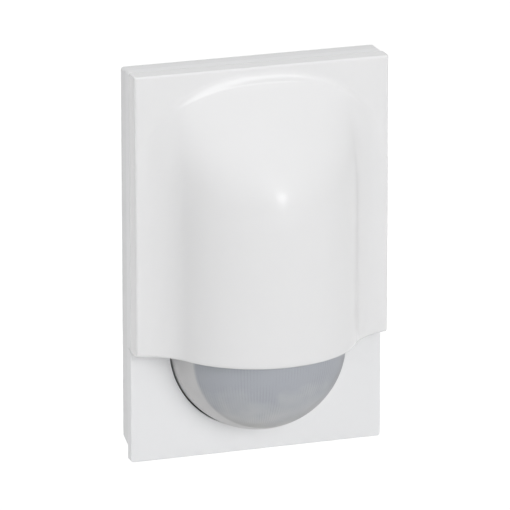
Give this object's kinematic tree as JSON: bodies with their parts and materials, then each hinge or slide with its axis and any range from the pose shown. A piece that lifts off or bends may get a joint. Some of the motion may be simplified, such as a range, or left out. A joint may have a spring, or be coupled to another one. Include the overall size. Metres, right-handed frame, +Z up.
{
  "type": "motion sensor light switch",
  "caption": "Flat white wall-mounted infrared motion sensor with a bulging pull-off hood, a translucent dome lens below it and hidden adjusters, switching a light.",
  "frame": {"origin": "on the wall face, midway between the two fixing holes", "axes": "+Z up, -Y out of the wall towards the viewer, +X to the viewer's right"},
  "size_m": [0.081, 0.0385, 0.1236],
  "materials": {
    "hood_white": "smooth glossy moulded plastic",
    "frame_white": "smooth satin moulded plastic",
    "base_white": "fine-grained moulded plastic",
    "lens_plastic": "translucent ribbed polyethylene",
    "seal_rubber": "soft moulded rubber",
    "inner_grey": "fine-grained moulded plastic",
    "terminal_grey": "moulded polyamide",
    "contact_brass": "plain stamped brass",
    "screw_steel": "zinc-plated steel",
    "board_green": "solder-masked glass-fibre board",
    "can_steel": "drawn steel can",
    "window_dark": "coated silicon window",
    "led_red": "tinted epoxy",
    "sensor_clear": "clear epoxy",
    "part_black": "moulded epoxy",
    "relay_blue": "moulded polyester",
    "coil_copper": "enamelled copper winding",
    "relay_iron": "nickel-plated iron",
    "film_yellow": "epoxy-filled box",
    "can_blue": "sleeved aluminium can",
    "varistor_teal": "dipped epoxy",
    "fuse_glass": "glass tube with plated caps",
    "trimmer_blue": "moulded thermoplastic",
    "knob_orange": "moulded polyamide"
  },
  "bodies": {
    "housing": {"front_frame": "frame_white", "wall_base": "base_white", "lens_dome": "lens_plastic", "base_gasket": "seal_rubber", "cable_grommet": "seal_rubber", "lens_seal": "seal_rubber", "inner_cover": "inner_grey", "sensor_carrier": "inner_grey", "terminal_block": "terminal_grey", "terminal_clamps": "contact_brass", "contact_pins": "contact_brass", "terminal_screws": "screw_steel", "frame_screws": "screw_steel", "carrier_screws": "screw_steel", "board_screws": "screw_steel", "cover_screws": "screw_steel", "main_board": "board_green", "sensor_board": "board_green", "infrared_sensors": "can_steel", "sensor_windows": "window_dark", "status_led": "led_red", "light_sensor": "sensor_clear", "board_header": "part_black", "relay_base": "part_black", "rectifier_diodes": "part_black", "controller_chip": "part_black", "relay_cover": "relay_blue", "relay_coil": "coil_copper", "relay_yoke": "relay_iron", "film_capacitor": "film_yellow", "electrolytic_capacitor": "can_blue", "varistor": "varistor_teal", "fuse": "fuse_glass", "trimmers": "trimmer_blue"},
    "hood": {"hood": "hood_white"},
    "time_knob": {"time_knob": "knob_orange"},
    "lux_knob": {"lux_knob": "knob_orange"},
    "range_knob": {"range_knob": "knob_orange"},
    "relay_armature": {"relay_armature": "relay_iron"}
  },
  "joints": [
    {"name": "hood_pull", "type": "slide", "parent": "housing", "child": "hood", "axis": [0, -1, 0], "range_m": [0, 0.045]},
    {"name": "time_turn", "type": "hinge", "parent": "housing", "child": "time_knob", "pos_m": [-0.009, -0.0314, 0.0033], "axis": [0, -1, 0], "range_deg": [-135, 135]},
    {"name": "lux_turn", "type": "hinge", "parent": "housing", "child": "lux_knob", "pos_m": [0, -0.0314, 0.0033], "axis": [0, -1, 0], "range_deg": [-135, 135]},
    {"name": "range_turn", "type": "hinge", "parent": "housing", "child": "range_knob", "pos_m": [0.009, -0.0314, 0.0033], "axis": [0, -1, 0], "range_deg": [-135, 135]},
    {"name": "relay_pull_in", "type": "hinge", "parent": "housing", "child": "relay_armature", "pos_m": [-0.003, -0.0224, -0.0127], "axis": [0, 0, -1], "range_deg": [0, 4]}
  ]
}
